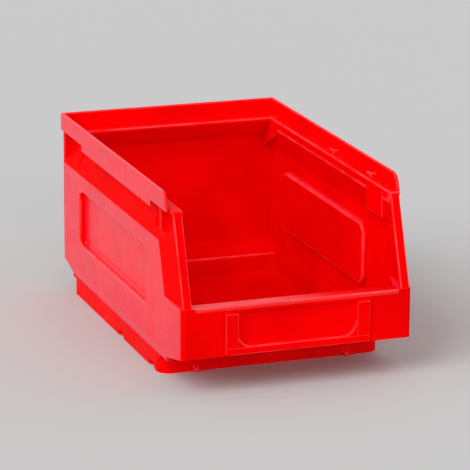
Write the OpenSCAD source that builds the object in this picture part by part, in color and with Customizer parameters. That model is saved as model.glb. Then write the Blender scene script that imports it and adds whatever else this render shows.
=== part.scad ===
// Open-fronted stackable storage bin, moulded in one shot.
// The moulding is divided where its walls change direction, so every region
// is a closed solid of its own that meets its neighbours face to face.
// Origin: middle of the footprint, on the surface the bin stands on.
// +X is the right-hand side seen from the open front, +Y the back, +Z up.

/* [Overall size] */
// Width over the rim
bin_w = 150; // [120:1:200]
// Depth from the label holder to the back of the rim
bin_d = 247; // [205:1:320]
// Height of the rim above the base
bin_h = 119; // [99:1:160]
// Thickness of the walls
wall_t = 2; // [1.5:0.1:2.5]
// Thickness of the floor
floor_t = 2.4; // [2:0.1:3]

/* [Rim] */
// Height of the upright band round the rim
band_h = 11.6; // [10:0.1:14]
// Thickness of the band
band_t = 2; // [1.5:0.1:2.5]
// Thickness of the stacking ledge
ledge_t = 2; // [1.5:0.1:3]
// Width of the stacking ledge along the sides
side_ledge_w = 7; // [5:0.5:9]
// Width of the stacking ledge along the back
back_ledge_w = 16; // [10:0.5:20]
// Extra depth of the band along the middle of the sides
skirt_drop = 4; // [2:0.5:6]
// Distance from the back of the rim to the deep part of the band
skirt_back = 48; // [35:1:60]
// Radius of the rounded front end of the rim
nose_r = 9; // [5:0.5:11]
// Distance of the rim's front end behind the leaning edge
nose_gap = 5; // [3:0.5:8]

/* [Side walls] */
// Distance of the side and back panels inside the rim
panel_in = 1.25; // [0.5:0.25:2.5]
// Distance from the rim down to the top edge of the side panel
panel_drop = 33; // [28:1:40]
// Distance from the rim down to the upper edge of the sloping shoulder
shoulder_drop = 15.6; // [15:0.1:18]
// Distance from the rim down to the bottom of the grip pockets
pocket_drop = 26.5; // [22:0.5:27]
// Height of the slope that carries the ledge at the back
back_slope_h = 14; // [11:0.5:18]
// Length of the grip pocket at the back
back_pocket_l = 27; // [20:1:32]
// Length of the grip pocket at the front
front_pocket_l = 21; // [17:1:26]
// Distance of the front grip pocket behind the leaning edge
pocket_gap = 14.3; // [11:0.1:18]
// Thickness of the rib across the front grip pocket
rib_t = 3.5; // [2:0.5:5]
// Distance of the rib from the back end of the front grip pocket
rib_gap = 10; // [8:0.5:12]
// Depth of the pressed-in field
field_in = 4; // [2:0.5:6]
// Height of the lower edge of the field above the base
field_low = 39; // [30:1:45]
// Distance from the top of the panel down to the field
field_top_gap = 11; // [8:1:16]
// Distance from the back of the rim to the field
field_back_gap = 38; // [25:1:50]
// Distance from the front to the field
field_front_gap = 69; // [58:1:83]
// Corner radius of the field
field_r = 6; // [3:0.5:10]

/* [Front] */
// Height of the front wall
lip_h = 54; // [45:1:62]
// Height of the lower edge of the front wall
chin_h = 23; // [19:1:27]
// Lean of the side walls' front edge from the vertical
lean = 19.5; // [12:0.5:24]
// Distance that the front wall stands before the leaning edge
lip_out = 0.4; // [0:0.1:6]
// Width of the tapered post behind the leaning edge
post_w = 30.5; // [25:0.5:37]
// Distance that the post dips inside the side panel, just behind the flange
post_in = 3; // [2:0.1:4]
// Distance of the flange inside the side panel
flange_in = 1.5; // [1:0.1:2]
// Width of the flange on the leaning edge
flange_w = 5.7; // [4:0.1:7]
// Thickness of the flange on the leaning edge
flange_t = 3; // [2:0.1:4]
// Depth of the rolled lip on top of the front wall
lip_d = 9; // [6:0.5:11]
// Thickness of the rolled lip
lip_t = 2.6; // [2:0.1:3.5]
// Width of the front corners seen from the front
corner_w = 9; // [8:0.5:14]
// Radius of the upright front corners
corner_r = 3.5; // [3:0.5:6]

/* [Foot] */
// Distance of the foot inside the rim at the sides
foot_side_in = 3; // [2.5:0.1:4]
// Distance of the foot inside the back of the rim
foot_back_in = 16.5; // [12:0.5:17.5]
// Distance of the foot behind the front
foot_front_in = 46.6; // [38:0.2:54]
// Height of the upright foot wall
foot_h = 13; // [10:0.5:15]
// Height where the slope from the foot meets the wall
sill_h = 20; // [18:0.5:24]
// Corner radius of the foot
foot_r = 8; // [4:0.5:12]
// Distance of the front lug behind the front end of the deep band
lug_front = 7; // [5:1:14]
// Distance between the two lugs on a side
lug_pitch = 62; // [40:1:66]
// Length of the lugs on the stacking ledge
lug_l = 7; // [4:0.5:9]
// Height of the lugs on the stacking ledge
lug_h = 2.4; // [1.5:0.1:3]
// Width of the lugs on the stacking ledge
lug_w = 4; // [2:0.5:4.5]
// Gap round a lug in the foot's notch
lug_gap = 1; // [0.4:0.1:1.5]
// Distance of the front hooks from the middle
hook_x = 49; // [35:1:53]
// Width of the front hooks
hook_w = 3.5; // [3:0.5:8]
// Distance that the front hooks stand out
hook_out = 3.5; // [3:0.5:8]
// Height of the front hooks
hook_h = 4; // [3:0.5:8]

/* [Label holder] */
// Width over the label holder's side rails
label_w = 92; // [74:1:102]
// Width of a side rail
rail_w = 8; // [6:0.5:10]
// Height of the bottom rail
bottom_rail_w = 4.2; // [3:0.1:5]
// Distance of the bottom rail above the lower edge of the front wall
rail_low = 0.6; // [0.4:0.1:2]
// Distance that the rails stand out from the front wall
rail_out = 1.4; // [1:0.1:2]
// Thickness of the label slot behind the rails
slot_t = 0.7; // [0.4:0.1:0.8]
// Overlap of the rails over a label
slot_d = 3; // [2:0.5:4]
// Depth of the pressed-in field behind the label
label_in = 2.2; // [1:0.1:3]
// Distance of the label field's sides inside the side rails
label_field_gap = 0.5; // [0:0.1:2]
// Radius of the lower corners of the label field
label_field_r = 9; // [4:0.5:10]
// Width of the grooves beside the side rails
groove_w = 2; // [1:0.1:3]
// Depth of the grooves beside the side rails
groove_in = 0.8; // [0.4:0.1:1.2]

/* [Hidden] */
$fn = 48;

red = "#E00000";

// Planes of the right-hand side and the back; the left side is a mirror image
rim_x = bin_w / 2;
rim_y = bin_d / 2;
band_x = rim_x - band_t;
band_y = rim_y - band_t;
panel_x = rim_x - panel_in;
panel_y = rim_y - panel_in;
inner_x = panel_x - wall_t;
inner_y = panel_y - wall_t;
top_x = band_x - side_ledge_w;
top_y = band_y - back_ledge_w;
foot_x = rim_x - foot_side_in;
foot_y1 = rim_y - foot_back_in;
foot_y0 = -rim_y + foot_front_in;

// Levels
band_z = bin_h - band_h;
skirt_z = band_z - skirt_drop;
ledge_z = band_z + ledge_t;
shoulder_z = bin_h - shoulder_drop;
pocket_z = bin_h - pocket_drop;
panel_z = bin_h - panel_drop;

// Front wall and the leaning edge of the side walls
front_y = -rim_y + rail_out;
front_in_y = front_y + wall_t;
corner_y = front_y + lip_out + post_w;
function lean_y(z) = front_y + lip_out + (z - lip_h) * tan(lean);
function post_y(z) = lean_y(z) + post_w;
function chin_z(y) = chin_h - (chin_h - foot_h) * (y - front_y) / (foot_y0 - front_y);

// Outer faces of the shoulder and of the post; they cross on a mitre
shoulder_run = (inner_x - top_x) / (shoulder_z - panel_z);
mitre_d = post_w - flange_t;
post_run = post_in / mitre_d;
mitre_z = panel_z + mitre_d * post_run / shoulder_run;

// Slope at the back: its rise, its thickness measured upwards, and the wall's top below it
back_rise = back_slope_h / (inner_y - top_y);
back_slope_up = wall_t * sqrt(1 + back_rise * back_rise);
back_wall_z = band_z - back_slope_h + back_slope_up;

function sill_in_x(z) = foot_x - wall_t
    + (panel_x - foot_x) * (z - foot_h) / (sill_h - foot_h);

// Front grip pocket, the deep part of the band behind it, and the lugs along that
pocket_y0 = lean_y(band_z) + pocket_gap;
skirt_y0 = pocket_y0 + front_pocket_l;
skirt_y1 = rim_y - skirt_back;
lug_y = [skirt_y0 + lug_front, skirt_y0 + lug_front + lug_pitch];

// Pressed-in field
field_y0 = -rim_y + field_front_gap;
field_y1 = rim_y - field_back_gap;
field_z1 = panel_z - field_top_gap;

// Label holder
lip_clear = 0.4;
label_z0 = chin_h + rail_low;
label_z1 = lip_h - lip_t - wall_t - lip_clear;
rail_edge = label_w / 2;
label_field_x = rail_edge - rail_w - label_field_gap;
label_field_z0 = label_z0 + bottom_rail_w;

// Builds the shape as drawn on the right, or its mirror image
module on_side(side) {
    mirror([side == "left" ? 1 : 0, 0, 0]) children();
}

// Extrudes an outline drawn in X and Z along Y
module along_y(y0, y1, outline) {
    translate([0, y1, 0]) rotate([90, 0, 0])
        linear_extrude(y1 - y0) polygon(outline);
}

// Extrudes an outline drawn in Y and Z along X
module along_x(x0, x1, outline) {
    translate([x0, 0, 0]) rotate([90, 0, 90])
        linear_extrude(x1 - x0) polygon(outline);
}

// Box between two corners
module box(from, to) {
    translate(from) cube(to - from);
}

// Rectangle with rounded corners, drawn flat
module round_rect(x0, x1, y0, y1, r) {
    translate([x0 + r, y0]) square([x1 - x0 - 2 * r, y1 - y0]);
    translate([x0, y0 + r]) square([x1 - x0, y1 - y0 - 2 * r]);
    for (x = [x0 + r, x1 - r], y = [y0 + r, y1 - r])
        translate([x, y]) circle(r);
}

// ---- Floor, foot and the slopes up to the walls ----

// Inside of the foot wall, seen from above
module foot_inside() {
    round_rect(-foot_x + wall_t, foot_x - wall_t, foot_y0 + wall_t, foot_y1 - wall_t,
        foot_r - wall_t);
}

module floor_plate() {
    color(red) linear_extrude(floor_t) foot_inside();
}

module foot_side(side) {
    color(red) on_side(side) difference() {
        box([foot_x - wall_t, foot_y0 + foot_r, 0], [foot_x, foot_y1 - foot_r, foot_h]);
        for (y = lug_y)
            box([foot_x - wall_t - 1, y - lug_l / 2 - lug_gap, -1],
                [foot_x + 1, y + lug_l / 2 + lug_gap, lug_h + lug_gap]);
    }
}

// End of the foot with its rounded corners; a square cap carries the slopes
module foot_end(y0, y1) {
    color(red) intersection() {
        difference() {
            union() {
                linear_extrude(foot_h) round_rect(-foot_x, foot_x, foot_y0, foot_y1, foot_r);
                box([-foot_x, foot_y0, foot_h - wall_t], [foot_x, foot_y1, foot_h]);
            }
            translate([0, 0, -1]) linear_extrude(foot_h + 2) foot_inside();
        }
        box([-foot_x - 1, y0, -1], [foot_x + 1, y1, foot_h + 1]);
    }
}

module sill_side(side) {
    color(red) on_side(side) intersection() {
        along_y(corner_y, panel_y, [
            [foot_x - wall_t, foot_h], [foot_x, foot_h],
            [panel_x, sill_h], [inner_x, sill_h]]);
        along_x(0, rim_x, [
            [corner_y, foot_h], [foot_y1, foot_h],
            [panel_y, sill_h], [corner_y, sill_h]]);
    }
}

// Room between the side slopes, for what spans from one to the other
module between_sills(y0, y1) {
    top = sill_h + foot_h;
    along_y(y0, y1, [
        [-sill_in_x(foot_h), foot_h - 1], [sill_in_x(foot_h), foot_h - 1],
        [sill_in_x(foot_h), foot_h], [inner_x, sill_h], [inner_x, top],
        [-inner_x, top], [-inner_x, sill_h], [-sill_in_x(foot_h), foot_h]]);
}

module sill_back() {
    rise = (sill_h - foot_h) / (panel_y - foot_y1);
    inside_up = wall_t * sqrt(1 + rise * rise);
    color(red) intersection() {
        along_x(-inner_x, inner_x, [
            [foot_y1 - wall_t, foot_h], [foot_y1, foot_h],
            [panel_y, sill_h], [inner_y, sill_h],
            [inner_y, foot_h + (inner_y - foot_y1) * rise + inside_up],
            [foot_y1 - wall_t, foot_h - wall_t * rise + inside_up]]);
        between_sills(foot_y1 - wall_t, panel_y);
    }
}

// Room inside the side and front walls, with the rounded front corners, seen from above
module inside_corners() {
    round_rect(-inner_x, inner_x, front_in_y, rim_y, corner_r - wall_t);
}

// Sloping underside from the foot forward to the front wall
module chin() {
    back = foot_y0 + wall_t;
    color(red) {
        intersection() {
            along_x(-inner_x, inner_x, [
                [corner_y, chin_z(corner_y)], [foot_y0, foot_h], [back, foot_h],
                [back, chin_z(back) + wall_t], [corner_y, chin_z(corner_y) + wall_t]]);
            between_sills(corner_y, back);
        }
        intersection() {
            along_x(-inner_x, inner_x, [
                [front_in_y, chin_z(front_in_y)], [corner_y, chin_z(corner_y)],
                [corner_y, chin_z(corner_y) + wall_t], [front_in_y, chin_z(front_in_y) + wall_t]]);
            linear_extrude(lip_h) inside_corners();
        }
    }
}

// ---- Side and back walls ----

// Outline of the pressed-in field, extruded through the side wall
module field_block(x0, x1, grow) {
    translate([x0, 0, 0]) rotate([90, 0, 90]) linear_extrude(x1 - x0)
        round_rect(field_y0 - grow, field_y1 + grow, field_low - grow, field_z1 + grow,
            field_r + grow);
}

module panel_side(side) {
    color(red) on_side(side) difference() {
        along_x(inner_x, panel_x, [
            [corner_y, sill_h], [inner_y, sill_h], [inner_y, panel_z],
            [post_y(panel_z), panel_z], [corner_y, lip_h]]);
        field_block(inner_x - 1, panel_x + 1, wall_t);
    }
}

module field_side(side) {
    color(red) on_side(side) difference() {
        field_block(inner_x - field_in, panel_x, wall_t);
        field_block(panel_x - field_in, panel_x + 1, 0);
    }
}

module wall_back() {
    color(red) along_y(inner_y, panel_y, [
        [-panel_x, sill_h], [panel_x, sill_h], [panel_x, panel_z], [top_x, panel_z],
        [top_x, back_wall_z], [-top_x, back_wall_z], [-top_x, panel_z], [-panel_x, panel_z]]);
}

// Plate that closes a back grip pocket behind and props the corner of the rim
module corner_plate(side) {
    color(red) on_side(side) box([top_x, inner_y, panel_z], [panel_x, panel_y, band_z]);
}

// ---- Shoulder under the rim, with the grip pockets at its ends ----

// Side view of the whole shoulder
shoulder_outline = [
    [inner_y, panel_z], [inner_y, band_z],
    [lean_y(band_z) + flange_t, band_z], [lean_y(mitre_z) + flange_t, mitre_z],
    [post_y(panel_z), panel_z]];

// Side view of a grip pocket, grown downwards and lengthways by a wall
pocket_floor_z = panel_z + wall_t + 0.4;
function back_pocket(grow) = [
    [inner_y + 1, pocket_floor_z - grow],
    [inner_y, pocket_floor_z - grow],
    [inner_y - back_pocket_l - grow, shoulder_z - grow],
    [inner_y - back_pocket_l - grow, band_z + 1],
    [inner_y + 1, band_z + 1]];
function front_pocket(grow) = [
    [skirt_y0 + grow, pocket_z - grow], [skirt_y0 + grow, band_z + 1],
    [pocket_y0 - grow, band_z + 1], [pocket_y0 - grow, pocket_z - grow]];

module shoulder_shape() {
    difference() {
        intersection() {
            union() {
                along_y(front_y, inner_y, [
                    [panel_x, panel_z], [top_x + wall_t, shoulder_z],
                    [top_x + wall_t, band_z], [top_x, band_z],
                    [top_x, shoulder_z], [inner_x, panel_z]]);
                intersection() {
                    along_y(front_y, inner_y, [
                        [panel_x, panel_z], [top_x + wall_t, shoulder_z],
                        [top_x + wall_t, band_z], [top_x, band_z], [top_x, panel_z]]);
                    union() {
                        along_x(0, rim_x, back_pocket(wall_t));
                        along_x(0, rim_x, front_pocket(wall_t));
                    }
                }
            }
            along_x(0, rim_x, shoulder_outline);
        }
        along_x(top_x + wall_t, rim_x, back_pocket(0));
        along_x(top_x + wall_t, rim_x, front_pocket(0));
    }
}

// Front and back ends of each grip pocket, walls included
grip_front_y = [pocket_y0 - wall_t, skirt_y0 + wall_t];
grip_back_y = [inner_y - back_pocket_l - wall_t, inner_y];

module shoulder_part(side, y0, y1) {
    color(red) on_side(side) intersection() {
        shoulder_shape();
        box([0, y0, 0], [rim_x, y1, bin_h]);
    }
}

module shoulder_side(side) {
    shoulder_part(side, front_y, grip_front_y[0]);
    shoulder_part(side, grip_front_y[1], grip_back_y[0]);
}

module grip_front(side) {
    shoulder_part(side, grip_front_y[0], grip_front_y[1]);
}

module grip_back(side) {
    shoulder_part(side, grip_back_y[0], grip_back_y[1]);
}

// Slope that carries the back ledge; behind it the rim is open for the fingers
module shoulder_back() {
    color(red) along_x(-top_x, top_x, [
        [inner_y, back_wall_z - back_slope_up], [inner_y, back_wall_z],
        [top_y + back_slope_up / back_rise, band_z], [top_y, band_z]]);
}

// Rib that stiffens the rim across the front grip pocket
module grip_rib(side) {
    rib_y = skirt_y0 - rib_gap;
    color(red) on_side(side)
        box([top_x + wall_t, rib_y - rib_t, pocket_z], [band_x, rib_y, band_z]);
}

// ---- Leaning posts and front corners ----

// Extrudes an outline along the leaning edge. The outline is drawn in X and in
// level distance behind the edge.
module along_lean(z0, z1, outline) {
    level = [for (p = outline) [p[0], p[1] * cos(lean)]];
    over = post_w;
    intersection() {
        translate([0, lean_y(z0 - over), z0 - over]) rotate([-lean, 0, 0])
            linear_extrude((z1 - z0 + 3 * over) / cos(lean)) polygon(level);
        box([0, -bin_d, z0], [rim_x, bin_d, z1]);
    }
}

flange_x = panel_x - flange_in;

module post(side) {
    back_x = panel_x - post_in;
    root = flange_t / 2;
    color(red) on_side(side) {
        intersection() {
            along_lean(lip_h, band_z, [
                [panel_x, post_w], [back_x, flange_t], [back_x, root],
                [back_x - wall_t, root], [back_x - wall_t, flange_t], [inner_x, post_w]]);
            along_x(0, rim_x, [
                [lean_y(lip_h) + root, lip_h], [corner_y, lip_h],
                [post_y(panel_z), panel_z], [lean_y(mitre_z) + flange_t, mitre_z],
                [lean_y(mitre_z) + root, mitre_z]]);
        }
        along_lean(lip_h, band_z, [
            [flange_x, 0], [flange_x, flange_t],
            [flange_x - flange_w, flange_t], [flange_x - flange_w, 0]]);
    }
}

module front_corner(side) {
    color(red) on_side(side) {
        intersection() {
            linear_extrude(lip_h) difference() {
                round_rect(-panel_x, panel_x, front_y, rim_y, corner_r);
                inside_corners();
            }
            along_x(panel_x - corner_w, rim_x, [
                [corner_y, chin_z(corner_y)], [corner_y, lip_h],
                [front_y, lip_h], [front_y, chin_h]]);
        }
        translate([0, 0, lip_h - lip_t]) linear_extrude(lip_t) polygon([
            [inner_x, corner_y], [inner_x, front_in_y],
            [panel_x - corner_w, front_in_y], [panel_x - corner_w, front_y + lip_d]]);
    }
}

// ---- Front wall ----

// Outline of the label field, extruded through the front wall
module label_block(y0, y1, grow) {
    above = 2 * label_field_r;
    intersection() {
        translate([0, y1, 0]) rotate([90, 0, 0]) linear_extrude(y1 - y0)
            round_rect(-label_field_x - grow, label_field_x + grow,
                label_field_z0 - grow, label_z1 + above, label_field_r + grow);
        box([-rim_x, y0 - 1, 0], [rim_x, y1 + 1, label_z1 + grow]);
    }
}

module wall_front() {
    half = panel_x - corner_w;
    color(red) difference() {
        along_x(-half, half, [
            [front_y, chin_h], [front_in_y, chin_z(front_in_y)],
            [front_in_y, lip_h - lip_t], [front_y, lip_h - lip_t]]);
        label_block(front_y - 1, front_in_y + 1, wall_t);
        for (side = ["left", "right"])
            on_side(side) box([rail_edge, front_y - 1, label_field_z0],
                [rail_edge + groove_w, front_y + groove_in, label_z1]);
    }
}

module label_field() {
    color(red) difference() {
        label_block(front_y, front_in_y + label_in, wall_t);
        label_block(front_y - 1, front_y + label_in, 0);
    }
}

module lip_front() {
    half = panel_x - corner_w;
    color(red) box([-half, front_y, lip_h - lip_t], [half, front_y + lip_d, lip_h]);
}

// ---- Rim: upright band and stacking ledge ----

module band_rear(side) {
    color(red) on_side(side)
        box([band_x, skirt_y1, band_z], [rim_x, band_y, bin_h]);
}

module band_middle(side) {
    color(red) on_side(side)
        box([band_x, skirt_y0, skirt_z], [rim_x, skirt_y1, bin_h]);
}

module band_nose(side) {
    centre_z = bin_h - nose_r;
    centre_y = lean_y(centre_z) + nose_gap + nose_r / cos(lean);
    steps = 10;
    arc = [for (i = [0 : steps])
        let (a = 90 + (90 - lean) * i / steps)
        [centre_y + nose_r * cos(a), centre_z + nose_r * sin(a)]];
    color(red) on_side(side)
        along_x(band_x, rim_x, concat([[skirt_y0, band_z], [skirt_y0, bin_h]], arc,
            [[lean_y(band_z) + nose_gap, band_z]]));
}

module band_back() {
    color(red) box([-rim_x, band_y, band_z], [rim_x, rim_y, bin_h]);
}

module ledge_side(side) {
    color(red) on_side(side) difference() {
        along_x(top_x, band_x, [
            [lean_y(band_z), band_z], [top_y, band_z],
            [top_y, ledge_z], [lean_y(ledge_z), ledge_z]]);
        for (y = lug_y)
            box([band_x - lug_w, y - lug_l / 2, band_z - 1],
                [band_x + 1, y + lug_l / 2, ledge_z + 1]);
    }
}

module ledge_back() {
    color(red) box([-band_x, top_y, band_z], [band_x, band_y, ledge_z]);
}

// Lugs that enter the notches in the foot of the bin above, rooted through the ledge
module ledge_lugs(side) {
    color(red) on_side(side)
        for (y = lug_y)
            box([band_x - lug_w, y - lug_l / 2, band_z],
                [band_x, y + lug_l / 2, ledge_z + lug_h]);
}

// ---- Label holder and front hooks ----

module label_rail_side(side) {
    inner_edge = rail_edge - rail_w;
    color(red) on_side(side) translate([0, 0, label_field_z0])
        linear_extrude(label_z1 - label_field_z0) polygon([
            [rail_edge, front_y], [rail_edge, -rim_y], [inner_edge, -rim_y],
            [inner_edge, front_y - slot_t], [inner_edge + slot_d, front_y - slot_t],
            [inner_edge + slot_d, front_y]]);
}

module label_rail_bottom() {
    color(red) along_x(-rail_edge, rail_edge, [
        [front_y, label_z0], [-rim_y, label_z0], [-rim_y, label_field_z0],
        [front_y - slot_t, label_field_z0],
        [front_y - slot_t, label_z0 + bottom_rail_w / 2],
        [front_y, label_z0 + bottom_rail_w / 2]]);
}

module front_hooks() {
    color(red) for (x = [-hook_x, hook_x])
        along_x(x - hook_w / 2, x + hook_w / 2, [
            [foot_y0, 0], [foot_y0 - hook_out, 0],
            [foot_y0 - hook_out, hook_h / 2], [foot_y0, hook_h]]);
}

floor_plate();  // floor
foot_side("left");  // foot_left
foot_side("right");  // foot_right
foot_end(foot_y1 - foot_r, foot_y1);  // foot_back
foot_end(foot_y0, foot_y0 + foot_r);  // foot_front
sill_side("left");  // sill_left
sill_side("right");  // sill_right
sill_back();
chin();
panel_side("left");  // panel_left
panel_side("right");  // panel_right
field_side("left");  // field_left
field_side("right");  // field_right
shoulder_side("left");  // shoulder_left
shoulder_side("right");  // shoulder_right
shoulder_back();
post("left");  // post_left
post("right");  // post_right
front_corner("left");  // front_corner_left
front_corner("right");  // front_corner_right
wall_back();
corner_plate("left");  // corner_plate_left
corner_plate("right");  // corner_plate_right
wall_front();
lip_front();
label_field();
band_rear("left");  // band_rear_left
band_rear("right");  // band_rear_right
band_middle("left");  // band_middle_left
band_middle("right");  // band_middle_right
band_nose("left");  // band_nose_left
band_nose("right");  // band_nose_right
band_back();
ledge_side("left");  // ledge_left
ledge_side("right");  // ledge_right
ledge_back();
grip_front("left");  // grip_front_left
grip_front("right");  // grip_front_right
grip_back("left");  // grip_back_left
grip_back("right");  // grip_back_right
grip_rib("left");  // grip_rib_left
grip_rib("right");  // grip_rib_right
ledge_lugs("left");  // ledge_lugs_left
ledge_lugs("right");  // ledge_lugs_right
label_rail_side("left");  // label_rail_left
label_rail_side("right");  // label_rail_right
label_rail_bottom();
front_hooks();
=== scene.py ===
"""Looks of an open-fronted stackable storage bin, moulded in one shot from red polypropylene.

Every region of the moulding is shown by a piece of its own, made from its solid with rounded
edges. Units are metres, in the frame of the solids.
"""
import math

import bmesh
import bpy
from mathutils import Matrix, Vector
from mathutils.bvhtree import BVHTree


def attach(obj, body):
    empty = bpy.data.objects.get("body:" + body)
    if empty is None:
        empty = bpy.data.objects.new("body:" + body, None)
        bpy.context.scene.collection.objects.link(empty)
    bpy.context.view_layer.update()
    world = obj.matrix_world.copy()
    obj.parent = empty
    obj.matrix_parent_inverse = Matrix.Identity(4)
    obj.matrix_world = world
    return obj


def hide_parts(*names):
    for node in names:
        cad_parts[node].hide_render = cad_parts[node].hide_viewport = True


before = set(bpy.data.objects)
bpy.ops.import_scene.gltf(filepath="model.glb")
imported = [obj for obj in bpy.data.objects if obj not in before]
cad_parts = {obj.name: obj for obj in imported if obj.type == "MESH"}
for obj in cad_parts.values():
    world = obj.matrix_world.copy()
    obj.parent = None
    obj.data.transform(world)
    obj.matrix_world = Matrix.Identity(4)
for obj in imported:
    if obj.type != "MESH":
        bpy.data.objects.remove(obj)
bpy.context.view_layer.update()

MM = 0.001
BODY = "root"
OUTER_EDGE = "outer_edge"   # attribute of the faces that round a convex edge, where the painted edge highlight goes

# ---- Colours, as sRGB hex ----
RED = "#EE0001"          # pigmented polypropylene
RED_DEEP = "#E00001"     # where the pigment lies denser
RED_PAINTED_EDGE_HIGHLIGHT = "#FF4A52"   # painted highlight on the rounded outer edges, in patches
HAZE_PINK = "#FF5A96"    # bloom on the grained outside
PAPER_GREY = "#BDBDBD"   # seamless paper that the bin stands on
SKY_WHITE = "#FFFFFF"    # the studio's overall light

# ---- Polypropylene ----
POLYPROPYLENE_IOR = 1.49
HAZE_SPREAD = 0.35       # sheen roughness of the grained skin
CLOUD_MM = 45            # patches of denser pigment
RUB_AND_HIGHLIGHT_MM = 15              # patches dulled by handling, and patches of the painted edge highlight
GRAIN_MM = 1.2           # spark-eroded grain
SCUFF_WIDTH_MM = 0.8
SCUFF_LENGTH_MM = 20
DULLER = 0.06            # roughness that handling adds at most
GLOSSIER = 0.04          # roughness that it takes away at most

# ---- Mould radii, in millimetres, guessed ----
R_CRISP = 0.9            # rim, walls, ledges, floor, front corners and lip
R_PLAIN = 1.0            # front wall, posts, shoulders, grips, rails and hooks
R_FOOT = 1.4
R_FIELD = 1.6            # pressed-in fields of the side walls
R_SOFT = 2.4             # label field, chin and the slope below the back wall
BEVEL_STEPS = 3

# ---- What counts as an edge, in degrees ----
LEAST_TURN = 16          # flatter edges belong to one curved face and stay as they are
BEVEL_TURN = 6           # a rounding's own edges turn more than this
SHARP_TURN = 38          # steeper edges stay sharp in the shading


# ---- Camera and light ----

FLOOR_HALF = 8           # metres from the middle of the floor to its edge
LAMP_DISTANCE = 2.0      # where a sun lamp's object stands; its light has no distance


def aim(azimuth, elevation, roll=0.0):
    """Turn of a camera or lamp that looks from that azimuth and elevation, in degrees."""
    return (Matrix.Rotation(math.radians(azimuth), 3, "Z")
            @ Matrix.Rotation(math.radians(90 - elevation), 3, "X")
            @ Matrix.Rotation(math.radians(roll), 3, "Z"))


def place(obj, azimuth, elevation, distance, target, roll=0.0):
    """Puts obj at that distance from target, looking at it."""
    turn = aim(azimuth, elevation, roll)
    where = Vector(target) + turn @ Vector((0, 0, distance))
    obj.matrix_world = Matrix.Translation(where) @ turn.to_4x4()


def make_camera():
    """Long lens, a little above the bin and to the left of its open front."""
    lens = bpy.data.cameras.new("camera")
    lens.sensor_width = 36
    lens.lens = 214.9
    camera = bpy.data.objects.new("camera", lens)
    bpy.context.scene.collection.objects.link(camera)
    place(camera, -19.8, 15.68, 1.7883, (0.0058, 0.0061, 0.0591), roll=0.365)
    bpy.context.scene.camera = camera


def soft_sun(name, azimuth, elevation, spread, strength):
    """Far soft light, even over the whole floor. spread is its angle, in degrees."""
    lamp = bpy.data.lights.new(name, "SUN")
    lamp.angle = math.radians(spread)
    lamp.energy = strength
    obj = bpy.data.objects.new(name, lamp)
    bpy.context.scene.collection.objects.link(obj)
    place(obj, azimuth, elevation, LAMP_DISTANCE, (0, 0, 0))


def make_stage():
    """Pale seamless floor under soft studio light, strongest from the left."""
    bm = bmesh.new()
    bmesh.ops.create_grid(bm, x_segments=1, y_segments=1, size=FLOOR_HALF)
    mesh = bpy.data.meshes.new("floor")
    bm.to_mesh(mesh)
    bm.free()
    ground = bpy.data.objects.new("floor", mesh)
    bpy.context.scene.collection.objects.link(ground)
    paper = bpy.data.materials.new("seamless_paper")
    paper.use_nodes = True
    shader = paper.node_tree.nodes["Principled BSDF"]
    shader.inputs["Base Color"].default_value = linear(PAPER_GREY)
    shader.inputs["Roughness"].default_value = 1.0
    shader.inputs["Specular IOR Level"].default_value = 0.0
    mesh.materials.append(paper)

    world = bpy.data.worlds.new("studio")
    world.use_nodes = True
    sky = world.node_tree.nodes["Background"]
    sky.inputs["Color"].default_value = linear(SKY_WHITE)
    sky.inputs["Strength"].default_value = 0.72
    bpy.context.scene.world = world
    soft_sun("key_left", -64, 44, 40, 1.5)
    soft_sun("fill_front", 0, 3, 50, 1.4)
    soft_sun("fill_left", -85, 14, 50, 0.8)


# ---- Materials ----

def linear(hex_code):
    """sRGB hex to the linear colour that a socket takes."""
    parts = [int(hex_code[i:i + 2], 16) / 255 for i in (1, 3, 5)]
    return (*[c / 12.92 if c <= 0.04045 else ((c + 0.055) / 1.055) ** 2.4 for c in parts], 1.0)


def add(tree, kind, links=(), **settings):
    """Adds a node. settings are its properties, or its sockets as in_NAME; links are (socket, source)."""
    node = tree.nodes.new(kind)
    for key, value in settings.items():
        if key.startswith("in_"):
            node.inputs[key[3:].replace("_", " ")].default_value = value
        else:
            setattr(node, key, value)
    for socket, source in links:
        tree.links.new(source, node.inputs[socket])
    return node


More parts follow.
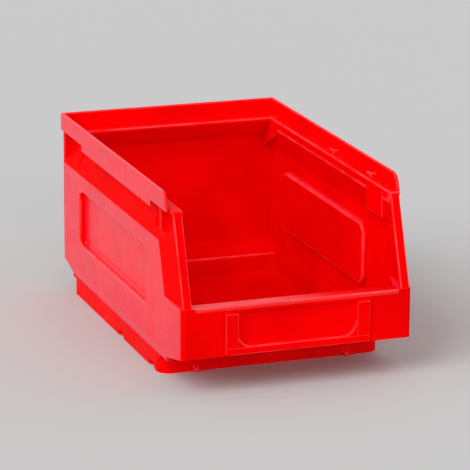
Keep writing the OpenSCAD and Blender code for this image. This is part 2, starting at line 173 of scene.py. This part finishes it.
def polypropylene(name, roughness, specular, grain_depth_mm, scuff=0.0, haze=0.0):
    """Injection-moulded polypropylene: strong even pigment with a faint cloudiness, a satin skin
    copied from the mould, and gloss that varies where hands and other bins rub it. haze is the
    pink bloom that a grained skin shows at a low angle."""
    material = bpy.data.materials.new(name)
    material.use_nodes = True
    tree = material.node_tree
    shader = tree.nodes["Principled BSDF"]
    shader.inputs["IOR"].default_value = POLYPROPYLENE_IOR
    shader.inputs["Specular IOR Level"].default_value = specular
    shader.inputs["Sheen Weight"].default_value = haze
    shader.inputs["Sheen Roughness"].default_value = HAZE_SPREAD
    shader.inputs["Sheen Tint"].default_value = linear(HAZE_PINK)
    where = add(tree, "ShaderNodeTexCoord").outputs["Object"]

    # Cloudy pigment
    cloud = add(tree, "ShaderNodeTexNoise", [("Vector", where)],
                in_Scale=1 / (CLOUD_MM * MM), in_Detail=2.0)
    tint = add(tree, "ShaderNodeValToRGB", [("Fac", cloud.outputs["Fac"])])
    for stop, position, colour in zip(tint.color_ramp.elements, (0.35, 0.6), (RED_DEEP, RED)):
        stop.position = position
        stop.color = linear(colour)

    # Handling wear: patches that are duller. Painted highlight: paler along the rounded outer edges, in
    # patches
    rub_and_highlight_noise = add(tree, "ShaderNodeTexNoise", [("Vector", where)],
              in_Scale=1 / (RUB_AND_HIGHLIGHT_MM * MM), in_Detail=3.0)
    highlight_patches = add(tree, "ShaderNodeMapRange", [("Value", rub_and_highlight_noise.outputs["Fac"])],
                  in_From_Min=0.3, in_From_Max=0.6, in_To_Min=0.1, in_To_Max=0.6)
    edges = add(tree, "ShaderNodeAttribute", attribute_name=OUTER_EDGE)
    painted_edge_highlight = add(tree, "ShaderNodeMath", [(0, highlight_patches.outputs["Result"]), (1, edges.outputs["Fac"])],
               operation="MULTIPLY")
    # Painted highlight mixed into the pigment colour on the rounded outer edges
    tint_with_painted_highlight = add(tree, "ShaderNodeMix", [("Factor", painted_edge_highlight.outputs["Value"]),
                                       ("A", tint.outputs["Color"])],
               data_type="RGBA", in_B=linear(RED_PAINTED_EDGE_HIGHLIGHT))
    tree.links.new(tint_with_painted_highlight.outputs["Result"], shader.inputs["Base Color"])
    gloss = add(tree, "ShaderNodeMapRange", [("Value", rub_and_highlight_noise.outputs["Fac"])],
                in_From_Min=0.35, in_From_Max=0.65,
                in_To_Min=roughness - GLOSSIER, in_To_Max=roughness + DULLER)
    tree.links.new(gloss.outputs["Result"], shader.inputs["Roughness"])

    # Spark-eroded grain of the mould
    grain = add(tree, "ShaderNodeTexNoise", [("Vector", where)],
                in_Scale=1 / (GRAIN_MM * MM), in_Detail=1.0)
    height = grain.outputs["Fac"]
    if scuff:
        # Scuffs along Y from sliding on shelves and other bins
        across, along = 1 / (SCUFF_WIDTH_MM * MM), 1 / (SCUFF_LENGTH_MM * MM)
        run = add(tree, "ShaderNodeMapping", [("Vector", where)],
                  in_Scale=(across, along, across))
        streak = add(tree, "ShaderNodeTexNoise", [("Vector", run.outputs["Vector"])],
                     in_Scale=1.0, in_Detail=3.0)
        both = add(tree, "ShaderNodeMath", [(0, streak.outputs["Fac"]), (2, height)],
                   operation="MULTIPLY_ADD")
        both.inputs[1].default_value = scuff
        height = both.outputs["Value"]
    bump = add(tree, "ShaderNodeBump", [("Height", height)],
               in_Strength=0.2, in_Distance=grain_depth_mm * MM)
    tree.links.new(bump.outputs["Normal"], shader.inputs["Normal"])
    return material


# ---- Shapes ----

WELD = 0.002 * MM        # corners nearer than this are one corner
COPLANAR = 0.5           # degrees that the triangles of one flat may turn
PROBE = Vector((0.31, 0.52, 0.797)).normalized()   # askew, so that it meets no edge head on
PROBE_STEP = 0.001 * MM  # past a wall that the probe has crossed
MOST_WALLS = 64


def solid_bmesh(node_name):
    """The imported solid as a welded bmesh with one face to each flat."""
    bm = bmesh.new()
    bm.from_mesh(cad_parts[node_name].data)
    bmesh.ops.remove_doubles(bm, verts=bm.verts, dist=WELD)
    bmesh.ops.dissolve_limit(bm, angle_limit=math.radians(COPLANAR), verts=bm.verts,
                             edges=bm.edges)
    return bm


def trees_of_solids():
    """A search tree for every region of the moulding, by node name."""
    found = {}
    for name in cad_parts:
        bm = solid_bmesh(name)
        found[name] = BVHTree.FromBMesh(bm)
        bm.free()
    return found


def inside(tree, point):
    """Whether a point is inside a closed solid, by counting the walls that a ray crosses."""
    crossings = 0
    start = point.copy()
    while crossings < MOST_WALLS:
        hit, _normal, _index, _distance = tree.ray_cast(start, PROBE)
        if hit is None:
            break
        crossings += 1
        start = hit + PROBE * PROBE_STEP
    return crossings % 2 == 1


def joined_side(edge, face, others):
    """Whether another region of the moulding covers that face along that edge, at two or more of
    three places."""
    a, b = (v.co for v in edge.verts)
    along = b - a
    inward = face.normal.cross(along).normalized()
    if inward.dot(face.calc_center_median() - (a + b) / 2) < 0:
        inward = -inward
    beside = inward * 0.25 * MM + face.normal * 0.03 * MM
    covered = 0
    for share in (0.15, 0.5, 0.85):
        point = a + along * share + beside
        covered += any(inside(tree, point) for tree in others)
    return covered >= 2


def round_edges(bm, radius, others):
    """Gives every free edge a mould radius, leaves the edges where regions meet, and marks the
    faces that round a convex edge."""
    outer = bm.faces.layers.float.new(OUTER_EDGE)
    chosen = []
    for edge in bm.edges:
        if len(edge.link_faces) != 2:
            continue
        if edge.calc_face_angle(0) < math.radians(LEAST_TURN):
            continue
        if any(joined_side(edge, face, others) for face in edge.link_faces):
            continue
        chosen.append(edge)
    made = bmesh.ops.bevel(bm, geom=chosen, offset=radius, segments=BEVEL_STEPS, profile=0.5,
                           affect="EDGES", clamp_overlap=True, material=-1)
    for face in made["faces"]:
        turning = [edge for edge in face.edges
                   if edge.is_manifold and edge.calc_face_angle(0) > math.radians(BEVEL_TURN)]
        face[outer] = float(bool(turning) and all(edge.is_convex for edge in turning))


def faces_core(face):
    """Whether a face looks to the middle of the bin or to the front, so has the core's finish."""
    side = math.copysign(1, face.calc_center_median().x)
    squarely = math.cos(math.radians(60))
    return face.normal.x * side < -squarely or face.normal.y < -squarely


def finish_piece(bm, node_name, skin, core_skin):
    """Makes bm a shaded piece that rides on the bin and stands for that node."""
    bmesh.ops.recalc_face_normals(bm, faces=bm.faces)
    for face in bm.faces:
        face.material_index = int(faces_core(face))
    name = node_name + "_moulded"
    mesh = bpy.data.meshes.new(name)
    bm.to_mesh(mesh)
    bm.free()
    mesh.materials.append(skin)
    mesh.materials.append(core_skin)
    mesh.polygons.foreach_set("use_smooth", [True] * len(mesh.polygons))
    mesh.set_sharp_from_angle(angle=math.radians(SHARP_TURN))
    piece = bpy.data.objects.new(name, mesh)
    bpy.context.scene.collection.objects.link(piece)
    flat = piece.modifiers.new("flat_faces", "WEIGHTED_NORMAL")
    flat.keep_sharp = True
    flat.weight = 60
    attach(piece, BODY)
    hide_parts(node_name)


def moulded(node_name, radius_mm, skin, core_skin, solids):
    """One region of the moulding, with its radii and its finishes."""
    others = [tree for name, tree in solids.items() if name != node_name]
    bm = solid_bmesh(node_name)
    round_edges(bm, radius_mm * MM, others)
    finish_piece(bm, node_name, skin, core_skin)


def make_bin():
    """Every region, each with the skin and the core finish that its name calls for."""
    # Outside of the rim and walls, grained in the mould: satin, clearest at a low angle
    grained = polypropylene("polypropylene_grained", roughness=0.3, specular=0.5,
                            grain_depth_mm=0.008, haze=0.6)
    # Front wall, posts, shoulders, grips and all inner faces, off a stoned mould: softest gloss
    drawn = polypropylene("polypropylene_drawn", roughness=0.45, specular=0.008,
                          grain_depth_mm=0.02)
    # Lip of the front wall, off polished steel: the sharpest highlights
    polished = polypropylene("polypropylene_polished", roughness=0.22, specular=0.5,
                             grain_depth_mm=0.01)
    # Foot, floor and ledges, scuffed by shelves and other bins
    scuffed = polypropylene("polypropylene_scuffed", roughness=0.45, specular=0.03,
                            grain_depth_mm=0.03, scuff=0.6)
    solids = trees_of_solids()
    # Outer skin, finish of the inner and front faces, radius, and how the names begin
    finishes = [
        (polished, polished, R_CRISP, ("lip_",)),
        (grained, drawn, R_CRISP, ("band_", "panel_", "sill_left", "sill_right", "wall_back",
                                   "corner_plate", "front_corner")),
        (grained, drawn, R_FIELD, ("field_",)),
        (drawn, drawn, R_PLAIN, ("wall_front", "post_", "shoulder_", "grip_", "label_rail",
                                 "front_hooks")),
        (drawn, drawn, R_SOFT, ("label_field", "sill_back", "chin")),
        (scuffed, scuffed, R_CRISP, ("floor", "ledge")),
        (scuffed, scuffed, R_FOOT, ("foot_",)),
    ]
    for name in sorted(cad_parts):
        for skin, core_skin, radius, starts in finishes:
            if name.startswith(starts):
                moulded(name, radius, skin, core_skin, solids)
                break


make_camera()
make_stage()
make_bin()
bpy.context.scene.view_settings.view_transform = "Standard"
